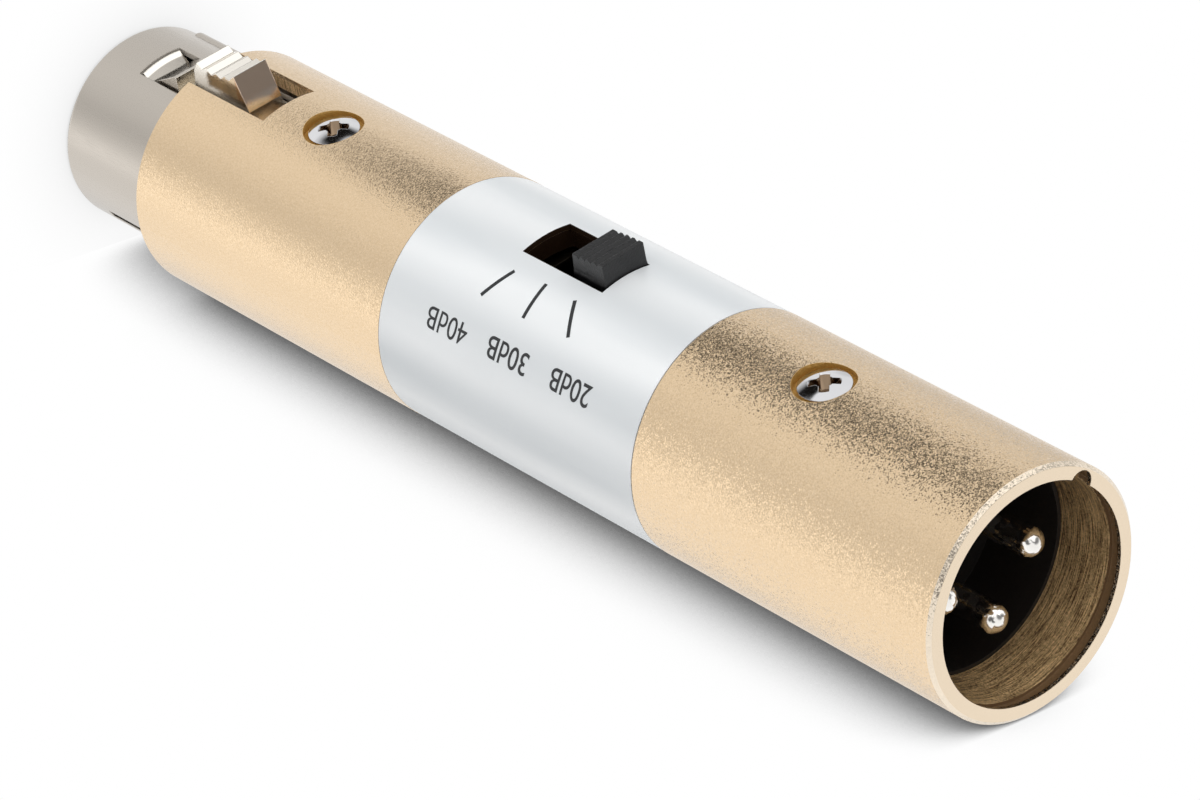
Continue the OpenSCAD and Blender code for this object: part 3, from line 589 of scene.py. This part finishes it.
# what lights matt surfaces, from behind to straight under the softbox
GLOW = ((0.0, 1.0), (0.25, 0.75), (0.48, 0.4), (0.66, 0.42), (0.82, 0.98), (1.0, 1.5))
KEY = Vector((0.1, -0.98, 0.1)).normalized()
# round patches, by azimuth, elevation, the radius where each is whole and where it ends, and level
BELOW = ((166, -33, 8, 15, 0.78), (190, -33, 8, 15, 0.78),  # grey floor to the left, in two pieces
         (8, -56, 8, 12, 1.55))                              # white card under the socket's end
ABOVE = ((250, 30, 25, 45, 1.35),                            # softbox
         (194, 14, 9, 16, 0.4),                              # its dark edge
         (211, 62, 15, 28, 0.22),                            # grey ceiling beside it
         (322, 46, 14, 20, 0.12))                            # the tent's opening
HORIZON = (-0.1, 0.25)  # the two halves of the tent blend between these heights


def levels(tree, place, stops):
    """Brightness along a ramp that eases from stop to stop, as one number."""
    ramp = node(tree, "ValToRGB", (place,), [(at, level / BRIGHTEST) for at, level in stops])
    ramp.color_ramp.interpolation = "EASE"
    return node(tree, "Math", (node(tree, "SeparateColor", (ramp,)), BRIGHTEST), operation="MULTIPLY")


def toward_share(tree, toward, aim):
    """How far a direction is toward an aim, from 0 behind to 1 ahead."""
    ahead = node(tree, "VectorMath", (toward, tuple(aim)), operation="DOT_PRODUCT").outputs["Value"]
    return node(tree, "Math", (ahead, 0.5, 0.5), operation="MULTIPLY_ADD")


def patched(tree, level, toward, patches):
    """A level, changed to another in each round patch."""
    for azimuth, elevation, full, none, value in patches:
        turn, lift = math.radians(azimuth), math.radians(elevation)
        aim = (math.cos(lift) * math.cos(turn), math.cos(lift) * math.sin(turn), math.sin(lift))
        near = node(tree, "VectorMath", (toward, aim), operation="DOT_PRODUCT").outputs["Value"]
        inside = node(tree, "MapRange", (near, math.cos(math.radians(none)), math.cos(math.radians(full))),
                      interpolation_type="SMOOTHSTEP")
        change = node(tree, "Math", (value, level), operation="SUBTRACT")
        level = node(tree, "Math", (inside, change, level), operation="MULTIPLY_ADD")
    return level


def studio_tent():
    """The world: what metal mirrors, the even light that falls on matt surfaces, and plain white
    for the camera."""
    world = bpy.data.worlds.new("studio_tent")
    bpy.context.scene.world = world
    world.use_nodes = True
    world.cycles.sampling_method = "NONE"
    tree = world.node_tree
    tree.nodes.clear()
    toward = node(tree, "TexCoord").outputs["Generated"]
    x, y, z = node(tree, "SeparateXYZ", (toward,)).outputs
    turn = node(tree, "Math", (y, x), operation="ARCTAN2")
    turn = node(tree, "Math", (turn, 2 * math.pi), operation="DIVIDE")
    turn = node(tree, "Math", (turn, 1.0), operation="ADD")
    turn = node(tree, "Math", (turn,), operation="FRACT")
    low = levels(tree, turn, [(degrees / 360, level) for degrees, level in COMPASS])
    high = levels(tree, node(tree, "Math", (z, 0.5, 0.5), operation="MULTIPLY_ADD"), OVERHEAD)
    low = patched(tree, low, toward, BELOW)
    high = patched(tree, high, toward, ABOVE)
    rise = node(tree, "MapRange", (z, *HORIZON), interpolation_type="SMOOTHSTEP")
    change = node(tree, "Math", (high, low), operation="SUBTRACT")
    mirrored = node(tree, "Math", (rise, change, low), operation="MULTIPLY_ADD")
    mirrored = node(tree, "Background", {"Color": "#FFFFFF", "Strength": mirrored})
    glow = levels(tree, toward_share(tree, toward, KEY), GLOW)
    glow = node(tree, "Background", {"Color": "#FFFFFF", "Strength": glow})
    white = node(tree, "Background", {"Color": "#FFFFFF", "Strength": 1.0})
    rays = node(tree, "LightPath").outputs
    lit = node(tree, "MixShader", (rays["Is Glossy Ray"], glow, mirrored))
    seen = node(tree, "Math", (rays["Is Camera Ray"], rays["Is Transmission Ray"]), operation="MAXIMUM")
    node(tree, "OutputWorld", {"Surface": node(tree, "MixShader", (seen, lit, white))})


def black_cloth():
    """Black cloth below and in front, with soft edges: metal alone mirrors it, as a dark streak
    along the barrel that weakens towards the nose."""
    made, tree = empty_material("black_cloth")
    x, y, z = node(tree, "SeparateXYZ", (node(tree, "TexCoord").outputs["Object"],)).outputs
    turn = node(tree, "Math", (y, x), operation="ARCTAN2")
    turn = node(tree, "Math", (turn, math.radians(-112)), operation="SUBTRACT")
    turn = node(tree, "Math", (turn,), operation="ABSOLUTE")
    far = from_axis(tree, x, y)
    cover = 1.0
    # it ends at each side, towards the part and away from it
    sides = (turn, math.radians(28), math.radians(15))
    for value, none, full in (sides, (far, 0.052, 0.1), (far, 0.21, 0.17)):
        inside = node(tree, "MapRange", (value, none, full), interpolation_type="SMOOTHSTEP")
        cover = all_of(tree, inside, cover)
    cloth = node(tree, "Emission", {"Color": "#1B1917", "Strength": 1.0})
    whole = node(tree, "MixShader", (cover, node(tree, "BsdfTransparent"), cloth))
    node(tree, "OutputMaterial", {"Surface": whole})
    return made


studio_tent()
CLOTH_DROP = 30 * MM
flag = card("dark_flag", 0.5, Matrix.Translation((0, 0, -CLOTH_DROP)), black_cloth())
flag.visible_glossy = True
flag.visible_camera = flag.visible_diffuse = flag.visible_transmission = flag.visible_shadow = False


def softbox(name, place, aim, size, power):
    data = bpy.data.lights.new(name, "AREA")
    data.shape = "SQUARE"
    data.size = size
    data.energy = power
    lamp = bpy.data.objects.new(name, data)
    lamp.location = place
    lamp.rotation_euler = (Vector(aim) - Vector(place)).to_track_quat("-Z", "Y").to_euler()
    bpy.context.scene.collection.objects.link(lamp)
    return lamp


softbox("key_softbox", (0.08, -0.77, 0.2), (0, 0, 0.05), 0.4, 1.0).visible_glossy = False

bpy.context.scene.view_settings.view_transform = "Standard"
